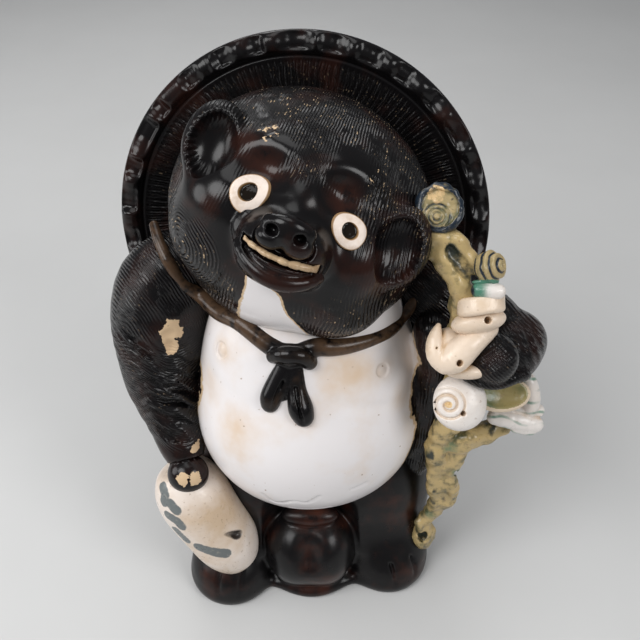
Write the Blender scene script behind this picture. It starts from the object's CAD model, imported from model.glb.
import math

import bmesh
import bpy
import numpy as np
from mathutils import Matrix, Vector


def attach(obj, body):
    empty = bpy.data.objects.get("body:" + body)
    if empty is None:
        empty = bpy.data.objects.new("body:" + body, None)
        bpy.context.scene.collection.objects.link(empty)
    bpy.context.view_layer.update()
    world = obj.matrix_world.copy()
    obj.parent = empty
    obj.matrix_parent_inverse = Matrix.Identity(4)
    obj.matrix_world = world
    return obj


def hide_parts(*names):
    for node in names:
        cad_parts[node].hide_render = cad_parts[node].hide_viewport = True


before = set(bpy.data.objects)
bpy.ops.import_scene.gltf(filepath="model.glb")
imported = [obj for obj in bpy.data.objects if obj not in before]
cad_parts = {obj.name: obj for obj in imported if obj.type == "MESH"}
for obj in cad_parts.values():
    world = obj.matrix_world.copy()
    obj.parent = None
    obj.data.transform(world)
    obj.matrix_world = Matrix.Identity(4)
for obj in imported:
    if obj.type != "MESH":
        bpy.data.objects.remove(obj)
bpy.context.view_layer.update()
print("frame loaded,", len(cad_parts), "nodes")

mm = 0.001


# clay modelling kit: every form is a distance field in millimetres, meshed on a fine net

def axisTurn(axis, degrees):
    return np.array(Matrix.Rotation(math.radians(degrees), 3, "XYZ"[axis]))


def lookTurn(yaw, pitch):  # third column looks out of the front
    return axisTurn(2, yaw) @ axisTurn(0, 90 - pitch)


def length(v):
    return np.sqrt(np.einsum("ij,ij->i", v, v))


def egg(p, centre, radii, turn=None):
    q = p - np.asarray(centre, float)
    if turn is not None:
        q = q @ turn
    a = q / np.asarray(radii, float)
    k = length(a)
    return k * (k - 1) / np.maximum(length(a / np.asarray(radii, float)), 1e-9)


def rod(p, a, b, ra, rb):
    a, b = np.asarray(a, float), np.asarray(b, float)
    along = b - a
    t = np.clip((p - a) @ along / (along @ along), 0, 1)
    return length(p - a - t[:, None] * along) - (ra + (rb - ra) * t)


def meld(a, b, soft):  # union with a soft fillet
    h = np.maximum(soft - np.abs(a - b), 0)
    return np.minimum(a, b) - h * h / (4 * soft)


def carve(a, b, soft):  # a with b taken out
    return -meld(-a, b, soft)


def melded(forms, soft):
    whole = None
    for form in forms:
        whole = form if whole is None else meld(whole, form, soft)
    return whole


def thread(line, radius):  # a line of points as stations of one radius
    return [(*point, radius) for point in line]


def smoothPath(stations, cuts=4):
    # smooth line through hand-placed stations of (x, y, z, radius)
    s = np.array(stations, float)
    s = np.vstack([2 * s[0] - s[1], s, 2 * s[-1] - s[-2]])
    points = []
    for i in range(1, len(s) - 2):
        for t in np.arange(cuts) / cuts:
            points.append(0.5 * (2 * s[i] + (s[i + 1] - s[i - 1]) * t
                                 + (2 * s[i - 1] - 5 * s[i] + 4 * s[i + 1] - s[i + 2]) * t * t
                                 + (3 * s[i] - s[i - 1] - 3 * s[i + 1] + s[i + 2]) * t ** 3))
    return np.array(points + [s[-2]])


def coil(p, stations, cuts=4, soft=1.5, margin=14.0):
    path = smoothPath(stations, cuts)
    pad = path[:, 3].max() + margin
    low, high = path[:, :3].min(0) - pad, path[:, :3].max(0) + pad
    away = length(np.maximum(np.maximum(low - p, p - high), 0)) + margin
    near = away <= margin  # worked out in full only close to the coil
    close = p[near]
    away[near] = melded((rod(close, a[:3], b[:3], a[3], b[3]) for a, b in zip(path, path[1:])), soft)
    return away


def ripple(p, size, seed=0):  # slow hand-made unevenness, about -1 to 1
    q = p / size
    a = np.sin(q[:, 0] * 1.7 + 1.3 * seed + np.sin(q[:, 1] * 1.1 + seed))
    b = np.sin(q[:, 1] * 1.9 + 2.1 * seed + np.sin(q[:, 2] * 1.3 - seed))
    c = np.sin(q[:, 2] * 1.6 + 0.7 * seed + np.sin(q[:, 0] * 1.2 + 2 * seed))
    return (a + b + c) / 3


def blob(p, at, reach):  # 1 at a place, easing to 0 at its reach
    t = np.clip(1 - length((p - np.asarray(at, float)) / reach), 0, 1)
    return t * t * (3 - 2 * t)


def ridges(p, way, pitch):  # parallel strokes of a tool, square to a way
    return np.cos(p @ np.asarray(way, float) * (2 * math.pi / pitch))


def roundDisc(flat, up, radius, half, edge):
    a = np.stack([flat - radius + edge, np.abs(up) - half + edge], 1)
    return length(np.maximum(a, 0)) + np.minimum(a.max(1), 0) - edge


cube = np.array([[x, y, z] for x in (0, 1) for y in (0, 1) for z in (0, 1)])


def gridOf(count):
    return np.stack(np.meshgrid(*[np.arange(n) for n in count], indexing="ij"), -1).reshape(-1, 3)


def slopeOf(form, p, here, eps=0.04):
    g = np.empty_like(p)
    for axis in range(3):
        step = np.zeros(3)
        step[axis] = eps
        g[:, axis] = (form(p + step) - here) / eps
    return g


def settle(form, p, rounds=2, reach=1.0):
    for _ in range(rounds):
        here = form(p)
        g = slopeOf(form, p, here)
        move = here[:, None] * g / np.maximum((g * g).sum(1), 0.05)[:, None]
        far = np.maximum(length(move), 1e-9)
        p = p - move * np.minimum(1, reach / far)[:, None]
    return p


def net(form, low, high, step):
    # coarse blocks, then fine cells near the surface, then one point per crossed cell
    low, high = np.asarray(low, float), np.asarray(high, float)
    size = 8
    cells = gridOf(np.ceil((high - low) / (step * size)).astype(int))
    while True:
        mid = low + (cells + 0.5) * step * size
        cells = cells[np.abs(form(mid)) < step * size * 1.25 + 0.4]
        if size == 1:
            break
        cells = (cells[:, None, :] * 2 + cube).reshape(-1, 3)
        size //= 2
    span = np.ceil((high - low) / step).astype(np.int64) + 12

    def key(c):
        return ((c[:, 0] + 1) * span[1] + c[:, 1] + 1) * span[2] + c[:, 2] + 1

    cells = cells[np.argsort(key(cells))]
    corners = (cells[:, None, :] + cube).reshape(-1, 3)
    _, first, back = np.unique(key(corners), return_index=True, return_inverse=True)
    value = form(low + corners[first] * step)[back.reshape(-1)].reshape(-1, 8)
    inside = value < 0
    live = inside.any(1) & ~inside.all(1)
    cells, value, inside = cells[live], value[live], inside[live]
    total = np.zeros((len(cells), 3))
    count = np.zeros(len(cells))
    for a in range(8):
        for axis in (4, 2, 1):
            b = a | axis
            if b == a:
                continue
            crossed = inside[:, a] != inside[:, b]
            t = value[crossed, a] / (value[crossed, a] - value[crossed, b])
            total[crossed] += cube[a] + t[:, None] * (cube[b] - cube[a])
            count[crossed] += 1
    points = low + (cells + total / count[:, None]) * step
    cellKey = key(cells)
    faces = []
    for axis, bit in ((0, 4), (1, 2), (2, 1)):
        crossed = np.nonzero(inside[:, 0] != inside[:, bit])[0]
        one, two = np.zeros(3, int), np.zeros(3, int)
        one[(axis + 1) % 3] = 1
        two[(axis + 2) % 3] = 1
        ring = []
        for back in (-one - two, -two, 0 * one, -one):
            wanted = key(cells[crossed] + back)
            slot = np.clip(np.searchsorted(cellKey, wanted), 0, len(cellKey) - 1)
            ring.append(np.where(cellKey[slot] == wanted, slot, -1))
        quad = np.stack(ring, 1)
        outward = inside[crossed, 0]
        quad[~outward] = quad[~outward][:, ::-1]
        faces.append(quad[(quad >= 0).all(1)])
    return points, np.vstack(faces)


def meshFrom(name, points, faces):
    mesh = bpy.data.meshes.new(name)
    mesh.from_pydata((points * mm).tolist(), [], faces.tolist())
    mesh.validate()
    mesh.shade_smooth()
    return mesh


def pointsOf(mesh):
    co = np.empty(len(mesh.vertices) * 3)
    mesh.vertices.foreach_get("co", co)
    return co.reshape(-1, 3) / mm


def refine(mesh, form, where):
    # halve the edges of a detailed area and lay the new points on the form
    bm = bmesh.new()
    bm.from_mesh(mesh)
    bm.verts.ensure_lookup_table()
    keep = where(pointsOf(mesh))
    edges = [e for e in bm.edges if keep[e.verts[0].index] and keep[e.verts[1].index]]
    bmesh.ops.subdivide_edges(bm, edges=edges, cuts=1, use_grid_fill=True)
    bm.to_mesh(mesh)
    bm.free()
    co = pointsOf(mesh)
    fresh = where(co)
    co[fresh] = settle(form, co[fresh], 2, 0.5)
    mesh.vertices.foreach_set("co", (co * mm).ravel())
    mesh.shade_smooth()


def mark(mesh, name, values):  # a named per-point value that the glazes read
    layer = mesh.attributes.get(name) or mesh.attributes.new(name, "FLOAT", "POINT")
    layer.data.foreach_set("value", np.asarray(values, np.float32))


def openness(form, mesh, reach):
    # 1 on open faces, towards 0 down in grooves and creases
    p = pointsOf(mesh)
    g = slopeOf(form, p, form(p))
    g /= np.maximum(length(g), 1e-6)[:, None]
    return np.clip(form(p + g * reach) / reach, 0, 1)


def newPiece(name, data):
    piece = bpy.data.objects.new(name, data)
    bpy.context.scene.collection.objects.link(piece)
    return piece


def model(name, form, low, high, step, where=(), reach=4.0):
    points, faces = net(form, low, high, step)
    points = settle(form, points, 2, step)
    mesh = meshFrom(name, points, faces)
    for area in where:
        refine(mesh, form, area)
    mark(mesh, "open", openness(form, mesh, reach))
    print("modelled", name, len(mesh.vertices), "points")
    return newPiece(name, mesh)


def finishPiece(piece, glaze, slot, *nodes):
    piece.data.materials.clear()
    piece.data.materials.append(glaze)
    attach(piece, "root")
    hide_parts(*nodes)


# glaze kit

def newGlaze(name):
    glaze = bpy.data.materials.new(name)
    glaze.use_nodes = True
    return glaze, glaze.node_tree, glaze.node_tree.nodes["Principled BSDF"]


def add(tree, kind, **settings):
    node = tree.nodes.new(kind)
    for key, value in settings.items():
        setattr(node, key, value)
    return node


def math2(tree, operation, a, b=None, clamp=False):
    node = add(tree, "ShaderNodeMath", operation=operation, use_clamp=clamp)
    for socket, value in zip(node.inputs, (a, b)):
        if value is None:
            continue
        if isinstance(value, (int, float)):
            socket.default_value = value
        else:
            tree.links.new(value, socket)
    return node.outputs[0]


def times(tree, a, b, clamp=False):
    return math2(tree, "MULTIPLY", a, b, clamp)


def plus(tree, a, b, clamp=False):
    return math2(tree, "ADD", a, b, clamp)


def ramp(tree, value, low, high):
    node = add(tree, "ShaderNodeMapRange", interpolation_type="SMOOTHSTEP")
    tree.links.new(value, node.inputs["Value"])
    node.inputs["From Min"].default_value = low
    node.inputs["From Max"].default_value = high
    return node.outputs["Result"]


def tint(tree, share, a, b):
    node = add(tree, "ShaderNodeMix", data_type="RGBA")
    for socket, value in ((node.inputs[0], share), (node.inputs[6], a), (node.inputs[7], b)):
        if isinstance(value, tuple):
            socket.default_value = (*value, 1)
        elif isinstance(value, (int, float)):
            socket.default_value = value
        else:
            tree.links.new(value, socket)
    return node.outputs[2]


def noise(tree, perMetre, detail=3.0, rough=0.55, offset=(0, 0, 0), stretch=(1, 1, 1)):
    place = add(tree, "ShaderNodeTexCoord")
    mapping = add(tree, "ShaderNodeMapping")
    mapping.inputs["Location"].default_value = offset
    mapping.inputs["Scale"].default_value = stretch
    tree.links.new(place.outputs["Object"], mapping.inputs["Vector"])
    node = add(tree, "ShaderNodeTexNoise")
    node.inputs["Scale"].default_value = perMetre
    node.inputs["Detail"].default_value = detail
    node.inputs["Roughness"].default_value = rough
    tree.links.new(mapping.outputs["Vector"], node.inputs["Vector"])
    return node.outputs[0]


def marked(tree, name):
    return add(tree, "ShaderNodeAttribute", attribute_name=name).outputs["Fac"]


def bump(tree, shader, height, depth, under=None):
    node = add(tree, "ShaderNodeBump")
    node.inputs["Strength"].default_value = 1.0
    node.inputs["Distance"].default_value = depth * mm
    tree.links.new(height, node.inputs["Height"])
    if under is not None:
        tree.links.new(under, node.inputs["Normal"])
    tree.links.new(node.outputs["Normal"], shader.inputs["Normal"])
    return node.outputs["Normal"]


def place(tree, socket, value):
    tree.links.new(value, socket)


darkGlazeLook = {
    "thick": (0.0052, 0.0046, 0.0050),
    "thin": (0.060, 0.017, 0.009),
    "brown": (0.155, 0.088, 0.048),
    "bareClay": (0.62, 0.45, 0.28),
    "white": (0.82, 0.785, 0.785),
    "warmWhite": (0.72, 0.56, 0.42),
    "pinhole": (0.30, 0.19, 0.11),
    "combPitch": 1.9,
    "combDepth": 0.36,
    "dimple": 0.2,
    "gloss": 0.26,
}


def ragged(tree, name, perMetre=170, swing=4.0):
    # a marked distance in from an edge, broken up by noise
    return plus(tree, marked(tree, name), times(tree, noise(tree, perMetre, 3, 0.6), swing))


def whiteCoat(tree):
    look = darkGlazeLook
    cloud = noise(tree, 22, 4, 0.6, (0.2, 0.5, 0.1))
    warm = times(tree, ramp(tree, cloud, 0.50, 0.78), 0.45)
    warm = plus(tree, warm, times(tree, marked(tree, "warm"), ramp(tree, cloud, 0.25, 0.65)), True)
    colour = tint(tree, warm, look["white"], look["warmWhite"])
    pins = times(tree, ramp(tree, noise(tree, 330, 1), 0.75, 0.80), 0.7)
    return tint(tree, pins, colour, look["pinhole"])


def darkGlaze(name, comb=1.0, thinShare=0.35, specks=1.0, thin="thin", whiteToo=False, matt=0.13):
    # iron glaze: near black where it is thick, red-brown where thin, bare clay on rubbed ridges and chips
    look = darkGlazeLook
    glaze, tree, shader = newGlaze(name)
    fine = noise(tree, 420, 3)
    blotch = noise(tree, 120, 4, 0.6, (0.3, 0.1, 0.7))
    thinness = times(tree, ramp(tree, noise(tree, 38, 4), 0.47, 0.72), thinShare)
    iron = times(tree, marked(tree, "iron"), ramp(tree, blotch, 0.30, 0.55))
    thinness = plus(tree, thinness, iron, True)
    colour = tint(tree, thinness, look["thick"], look[thin])
    # combed lines: the marked coordinate counts millimetres across the teeth
    sway = times(tree, noise(tree, 40, 2), 5.0)
    across = plus(tree, marked(tree, "comb"), sway)
    wave = math2(tree, "SINE", times(tree, across, 2 * math.pi / look["combPitch"]))
    patch = times(tree, ramp(tree, noise(tree, 26, 3, 0.6, (0.9, 0.4, 0.2)), -0.1, 0.42), comb)
    patch = times(tree, patch, marked(tree, "combed"))
    ridge = times(tree, times(tree, wave, patch), ramp(tree, noise(tree, 140, 2), 0.25, 0.62))
    rubbed = times(tree, ramp(tree, fine, 0.56, 0.64), ramp(tree, blotch, 0.46, 0.60))
    rubbed = times(tree, rubbed, ramp(tree, ridge, 0.0, 0.9))
    rubbed = times(tree, rubbed, specks, True)
    chip = ramp(tree, ragged(tree, "bare", 230, 9.0), 8.6, 8.9)
    bare = math2(tree, "MAXIMUM", rubbed, chip)
    colour = tint(tree, bare, colour, look["bareClay"])
    if whiteToo:
        edge = ragged(tree, "white", 130, 5.0)
        colour = tint(tree, ramp(tree, edge, 7.9, 8.5), colour, look["bareClay"])
        colour = tint(tree, ramp(tree, edge, 9.3, 10.0), colour, whiteCoat(tree))
    place(tree, shader.inputs["Base Color"], colour)
    rough = plus(tree, times(tree, blotch, 0.16), times(tree, patch, 0.04))
    rough = plus(tree, rough, times(tree, bare, 0.45))
    place(tree, shader.inputs["Roughness"], plus(tree, rough, matt))
    shader.inputs["IOR"].default_value = 1.5
    shader.inputs["Specular IOR Level"].default_value = look["gloss"]
    small = bump(tree, shader, noise(tree, 75, 2), look["dimple"])
    bump(tree, shader, ridge, look["combDepth"], small)
    return glaze


paintLook = {"green": (0.075, 0.22, 0.15), "ink": (0.010, 0.018, 0.030), "bare": (0.70, 0.49, 0.25)}
flaskPaint = {"green": (0.030, 0.022, 0.018), "ink": (0.135, 0.150, 0.150), "bare": (0.64, 0.46, 0.29)}


def paleGlaze(name, colour, stain, stainShare=0.5, spots=0.5, scale=28, paints=paintLook):
    # fat pale glaze: warm where thin and in creases, pin-holed, faintly dimpled, with brushed green and ink
    glaze, tree, shader = newGlaze(name)
    cloud = noise(tree, scale, 4, 0.6, (0.2, 0.5, 0.1))
    fine = noise(tree, 240, 3)
    crease = math2(tree, "SUBTRACT", 1.0, marked(tree, "open"))
    warm = plus(tree, times(tree, ramp(tree, cloud, 0.45, 0.72), stainShare),
                 times(tree, crease, 0.75), True)
    base = tint(tree, warm, colour, stain)
    pins = times(tree, ramp(tree, noise(tree, 480, 1), 0.68, 0.74), spots)
    base = tint(tree, pins, base, darkGlazeLook["pinhole"])
    base = tint(tree, ramp(tree, ragged(tree, "green", 200, 0.5), 0.45, 0.95), base, paints["green"])
    base = tint(tree, ramp(tree, ragged(tree, "ink", 300, 0.5), 0.55, 0.85), base, paints["ink"])
    base = tint(tree, ramp(tree, ragged(tree, "bare", 300, 0.5), 0.60, 0.70), base, paints["bare"])
    place(tree, shader.inputs["Base Color"], base)
    place(tree, shader.inputs["Roughness"], plus(tree, times(tree, fine, 0.2), 0.2))
    bump(tree, shader, noise(tree, 90, 3), 0.8)
    return glaze


# body: two moulded halves, white over the chest and belly

body = {
    "levels": ((9, 84, 57, 63), (120, 81, 62, 56), (212, 68, 69, 36), (262, 46, 40, 26)),
    "bellyAt": (0, -32, 146),
    "bellyRadii": (77, 65, 72),
    "seam": 15.0,
    "frontBox": ((-92, -106, 2), (92, 22, 268)),  # where each half is meshed
    "backBox": ((-92, 8, 2), (92, 70, 268)),
    "frontStep": 1.45,
    "backStep": 1.8,
    "nipples": ((-51, -45, 219.5, 5.6), (42.6, -53.5, 212, 6.2)),
    "creases": (((-30, -90.4, 131), (-22, -89.5, 120), (-10, -94.8, 129), (-1.6, -94.9, 127), (7, -96.3, 137)),
                ((27.5, -92.4, 138.5), (33, -90.6, 139.5), (38.3, -88.2, 141)),
                ((-13, -88, 112), (-4, -87.5, 110), (6, -87.5, 110.5), (14, -88, 113))),
    "creaseWidth": 0.9,
    "breasts": ((-44, -52, 213, 36, 3.0), (40, -58, 208, 38, 3.0)),
    "chestFolds": (((-60, -47, 201), (-51, -58, 199.5), (-37, -69, 198.5), (-26, -74, 199)),
                   ((18, -74.5, 203), (30.5, -73.2, 197.5), (44, -68.2, 193), (56, -60.2, 189),
                    (65, -51, 185))),
    "foldDepths": (0.35, 0.8),
    "foldWidth": 4.5,
    "side": ((78, -34, 226, 12), (84, -38, 200, 12), (84, -42, 165, 12), (82, -42, 130, 12),
             (76, -40, 95, 10)),
    "warm": ((-51, -45, 219.5, 16), (42.6, -53.5, 212, 15), (24, -63, 221, 30), (-47, -76, 176, 26),
             (-66, -48, 190, 24), (62, -55, 186, 20)),  # tan stains: place, reach
    "whiteRight": 74,  # half widths of the white glaze, and the level it ends at
    "whiteLeft": 69,
    "whiteFoot": 78,
}
levelTable = np.array(body["levels"], float)
levelFits = [np.polyfit(levelTable[:, 0], levelTable[:, k], 3) for k in (1, 2, 3)]


def trunk(p):
    z = np.clip(p[:, 2], levelTable[0, 0], levelTable[-1, 0])
    wide, front, back = (np.polyval(fit, z) for fit in levelFits)
    deep = (front + back) / 2
    a = np.stack([p[:, 0] / wide, (p[:, 1] - (back - front) / 2) / deep], 1)
    k = length(a)
    d = k * (k - 1) / np.maximum(length(a / np.stack([wide, deep], 1)), 1e-3)
    return np.maximum(d, np.maximum(p[:, 2] - levelTable[-1, 0], levelTable[0, 0] - p[:, 2]))


def torso(p):
    d = meld(trunk(p), egg(p, body["bellyAt"], body["bellyRadii"]), 14)
    for x, y, z, reach, swell in body["breasts"]:
        d = d - swell * blob(p, (x, y, z), reach)
    for line, deep in zip(body["chestFolds"], body["foldDepths"]):
        d = d + deep * np.exp(-(coil(p, thread(line, 0), 3, 1) / body["foldWidth"]) ** 2)
    d = meld(d, coil(p, body["side"], 3, 4), 8)  # dark ridge of clay that the branch lies against
    return d + 0.45 * ripple(p, 26, 1)


def torsoFront(p):
    d = torso(p)
    for x, y, z, ring in body["nipples"]:  # stamped rings
        away = length(p - (x, y, z))
        d = carve(d, np.hypot(away - ring, d) - 0.95, 0.8) - 1.2 * blob(p, (x, y, z), ring)
    for line in body["creases"]:
        d = carve(d, coil(p, thread(line, body["creaseWidth"]), 3, 0.5), 1.2)
    return np.maximum(d, p[:, 1] - body["seam"])


def torsoBack(p):
    return np.maximum(torso(p) + 0.35 * ridges(p, (1, 0.3, 0.25), 5.5) * blob(p, (0, 60, 150), 130),
                      body["seam"] - p[:, 1])


def nearStamps(p):
    near = np.zeros(len(p), bool)
    for x, y, z, ring in body["nipples"]:
        near |= length(p - (x, y, z)) < ring + 3
    return near


def whiteEdge(p):
    # distance in from the edge of the white glaze, positive where it is white
    x, z = p[:, 0], p[:, 2]
    right = x + body["whiteRight"] - 0.0012 * np.abs(z - 175) ** 2 * (z > 175) - 3 * np.sin(z / 9.0)
    left = body["whiteLeft"] - x - 0.0016 * np.abs(z - 190) ** 2 * (z > 190)
    left = left - 0.004 * (150 - z) ** 2 * (z < 150) + 2.5 * np.sin(z / 8.0 + 1)
    bottom = (z - body["whiteFoot"]) * 0.9 - 0.006 * x ** 2
    ahead = -p[:, 1] - 6
    return np.minimum(np.minimum(right, left), np.minimum(bottom, ahead))


bodyFront = model("bodyFront", torsoFront, *body["frontBox"], body["frontStep"], (nearStamps,))
bodyBack = model("bodyBack", torsoBack, *body["backBox"], body["backStep"])

# legs, base, pouch and tail, pressed on as one dark mass

lower = {
    "base": ((0, -4, 87), (-62, -70, 31), (60, -60, 31), (0, -66, 29)),
    "baseHeight": 9.0,
    "top": 118,  # cut level inside the body
    "box": ((-104, -112, -4), (104, 94, 122)),
    "netStep": 1.6,
    "thigh": (42, 42, 72),
    "thighs": ((-52, -26, 59), (52, -26, 59)),
    "feet": ((-62, -70, 9), (60, -60, 9)),
    "sole": (32, 32, 27),
    "lobes": ((-11, -69, 32), (11, -69, 32)),
    "lobe": (23, 28, 33),
    "hollow": ((0, -98, 60), (8, 14, 17)),
    "tab": ((0, -66, 68), (21, 9, 8)),
    "tail": ((0, 57, 30), (25, 23, 42)),
    "toes": (((-53, -104, 12), (-53, -95, 24), (-51, -88, 31)),
             ((-70, -104, 12), (-69, -95, 24), (-67, -86, 31)),
             ((66, -94, 10), (64, -88, 20), (61.5, -83, 27)),
             ((82, -84, 14), (80, -79.5, 21.5), (77, -76, 27))),
    "folds": (((-38, -62, 78), (-37, -67, 60), (-37, -75, 42), (-37, -78, 34)),
              ((37, -62, 76), (37, -66, 60), (39, -71, 42), (39, -74, 34))),
}


def lowerForm(p):
    plan = melded((np.hypot(p[:, 0] - x, p[:, 1] - y) - r for x, y, r in lower["base"]), 14)
    half = lower["baseHeight"] / 2
    d = roundDisc(plan, p[:, 2] - half, 0, half, 4)
    legs = np.minimum(*(meld(egg(p, thigh, lower["thigh"]), egg(p, foot, lower["sole"]), 30)
                        for thigh, foot in zip(lower["thighs"], lower["feet"])))
    d = meld(d, np.maximum(legs, -p[:, 2]), 7)
    d = meld(d, trunk(p) + 3, 10)
    for toe in lower["toes"]:
        d = carve(d, coil(p, thread(toe, 1.3), 2, 0.5), 2.2)
    for fold in lower["folds"]:
        d = meld(d, coil(p, thread(fold, -2.5), 3, 1), 14)
    pouch = meld(*(egg(p, lobe, lower["lobe"]) for lobe in lower["lobes"]), 14)
    pouch = carve(pouch, egg(p, *lower["hollow"]), 9)
    d = meld(d, np.maximum(pouch, -p[:, 2]), 5.0)
    d = meld(d, egg(p, *lower["tab"]), 2)
    tail = egg(p, *lower["tail"]) + 0.9 * ridges(p, (1, 0, 0.12), 6.5) * blob(p, (0, 82, 34), 40)
    d = meld(d, np.maximum(tail, -p[:, 2]), 5)
    d = d + 0.5 * ripple(p, 17, 2)
    return np.maximum(np.maximum(d, -p[:, 2]), p[:, 2] - lower["top"])


lowerBody = model("lowerBody", lowerForm, *lower["box"], lower["netStep"])

# head: tipped back and rolled, with brows, cheeks, muzzle and cupped ears

head = {
    "at": (-4, 4, 287),
    "radii": (80, 74, 73),
    "tip": -28,
    "roll": 20,
    "turn": -2.3,
    "cheeks": ((-35, -1, 0.80, 25), (31, -9, 0.79, 25),  # yaw, pitch, depth, size
               (-46, -24, 0.76, 24), (44, -36, 0.80, 24)),
    "brows": ((-19, 26, 0.805), (14.5, 29, 0.805)),
    "brow": (18, 16, 13),
    "sockets": ((-17.5, 17.5), (15.5, 18.0)),
    "socket": (13, 9, 8),
    "bridge": (11, 16, 17),
    "scars": ((-26.7, -58, 38), (31.5, -58, 35)),
    "muzzlePitch": -9,
    "muzzle": (25, 27, 19),
    "nose": (13.5, 9, 8.5),
    "noseLift": 10.5,
    "lobe": (8.5, 8, 6.5),
    "nostrilSpread": 7.0,
    "nostril": (2.9, 4.8, 2.5),
    "lowerLip": (5.0, 6.6, 20.5, 22, 4.0),  # drop, sag, depth, reach, radius
    "tongueGroove": (3.6, 3.6, 25.5, 18, 1.3),
    "mouthReach": 20.5,
    "mouthFolds": (((-23.5, -75, -2, 1.6), (-25.5, -74, -9, 2.4), (-23, -74, -16, 1.8)),
                   ((22.5, -75, -9, 1.6), (24, -74, -14, 2.2), (21, -74, -19, 1.6))),
    "jaw": (22, 22, 10.5),
    "jawDrop": 12,
    "ear": (17, 23, 13),
    "ears": ((-1, 46, 19, 14), (1, 46, 5, 12)),  # side, yaw, pitch, facing
    "earRidges": 24,
    "eyes": {-1: (-18.2, 6.2), 1: (19.8, 5.6)},
    "box": ((-104, -112, 190), (100, 76, 374)),
    "netStep": 1.38,
}
headTurn = axisTurn(0, head["tip"]) @ axisTurn(1, head["roll"]) @ axisTurn(2, head["turn"])
headAt = np.array(head["at"], float)


def inHead(p):
    return (p - headAt) @ headTurn


def onHead(yaw, pitch, share=1.0):
    y, t = math.radians(yaw), math.radians(pitch)
    way = np.array([math.sin(y) * math.cos(t), -math.cos(y) * math.cos(t), math.sin(t)])
    return way * np.array(head["radii"]) * share


muzzleAt = onHead(0, head["muzzlePitch"])
noseAt = muzzleAt + np.array([0, -0.9 * head["muzzle"][1], head["noseLift"]])


def smileRise(x):  # height of the mouth line across the face
    return muzzleAt[2] - 2.6 - 0.06 * x + 2.2 * (x / 20) ** 2


def lipLine(drop, sag, depth, reach, radius):
    # stations of a roll that follows the smile, sagging in the middle
    line = []
    for x in np.linspace(-reach, reach, 9):
        bend = 1 - (x / (reach + 2)) ** 2
        line.append((x, muzzleAt[1] - depth * math.sqrt(1 - (x / (reach + 5)) ** 2),
                     smileRise(x) - drop - sag * bend, radius * (0.55 + 0.45 * bend)))
    return line


def skull(q):
    d = egg(q, (0, 0, 0), head["radii"])
    for yaw, pitch, share, size in head["cheeks"]:
        d = meld(d, egg(q, onHead(yaw, pitch, share), (size, size, size * 0.88)), 14)
    for yaw, pitch, share in head["brows"]:
        d = meld(d, egg(q, onHead(yaw, pitch, share), head["brow"]), 14)
    for yaw, pitch in head["sockets"]:
        d = carve(d, egg(q, onHead(yaw, pitch, 1.08), head["socket"]), 11)
    for scar in head["scars"]:
        d = d + 0.9 * ripple(q, 1.3, 4) * blob(q, scar, 9)
    return meld(d, egg(q, onHead(0, 4, 0.86), head["bridge"]), 12)


def ears(q, d):
    size = np.array(head["ear"], float)
    for side, yaw, pitch, facing in head["ears"]:
        r = (q - onHead(side * yaw, pitch)) @ lookTurn(side * facing, 6)
        flat = r[:, :2] / size[:2]
        around = np.arctan2(flat[:, 1], flat[:, 0])
        out = np.hypot(flat[:, 0], flat[:, 1])
        rim = np.clip((out - 0.45) * 4, 0, 1) * np.clip((0.92 - out) * 6, 0, 1)
        rim = rim * np.clip(0.5 + side * flat[:, 0], 0, 1)
        comb = 0.9 * np.cos(around * head["earRidges"]) * rim
        d = meld(d, egg(r, (0, 0, 0), size), 5)
        d = carve(d, egg(r, (-side * 3.5, -2.0, size[2] * 0.78), size - (4.0, 4.6, 1.5)) + comb, 3)
    return d


def snout(q, d):
    d = meld(d, egg(q, muzzleAt, head["muzzle"]), 7)
    jaw = egg(q, muzzleAt - (0, -1, head["jawDrop"]), head["jaw"])
    d = meld(d, jaw, 4)
    d = meld(d, coil(q, lipLine(*head["lowerLip"]), 2, 2), 2)
    gap = np.hypot((q[:, 1] - noseAt[1]) * 0.15, q[:, 2] - smileRise(q[:, 0]) + 1.2) - 2.4
    d = carve(d, np.maximum(gap, np.abs(q[:, 0]) - head["mouthReach"]), 1.2)
    d = carve(d, coil(q, lipLine(*head["tongueGroove"]), 2, 0.5), 1.2)
    for fold in head["mouthFolds"]:
        d = meld(d, coil(q, fold, 3, 1), 3)
    nose = egg(q, noseAt, head["nose"])
    for side in (-1, 1):
        nose = meld(nose, egg(q, noseAt + (side * 6.5, 0.5, -4.5), head["lobe"]), 1.2)
    d = meld(carve(d, nose - 1.6, 1.5), nose, 0.8)  # a groove all round the nose
    bow = [(*(noseAt + (x, -5.5 + 0.045 * x * x, 4.6 - 0.02 * x * x)), 3.4) for x in (-10, -5, 0, 5, 10)]
    d = meld(d, coil(q, bow, 2, 1), 2.5)  # roll over the top of the nose
    d = carve(d, rod(q, noseAt + (0, -11, -1), noseAt + (0, -7, -12), 0.9, 1.5), 1.5)
    for side in (-1, 1):
        hole = noseAt + np.array([side * head["nostrilSpread"], -head["nose"][1] * 0.72, -0.6])
        d = carve(d, egg(q, hole, head["nostril"]), 1.6)
    return d


def headForm(p):
    q = inHead(p)
    d = snout(q, ears(q, skull(q)))
    d = np.maximum(d, q[:, 1] - 48)
    return d + 0.35 * ripple(p, 14, 3)


def nearFace(p):
    return egg(inHead(p), muzzleAt, (32, 36, 32)) < 0


def nearEars(p):
    q = inHead(p)
    near = np.zeros(len(p), bool)
    for side, yaw, pitch, facing in head["ears"]:
        near |= length(q - onHead(side * yaw, pitch)) < 26
    return near


headPiece = model("head", headForm, *head["box"], head["netStep"], (nearFace, nearEars))

# eyes: cream slip lids with a sunk dark pupil

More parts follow.
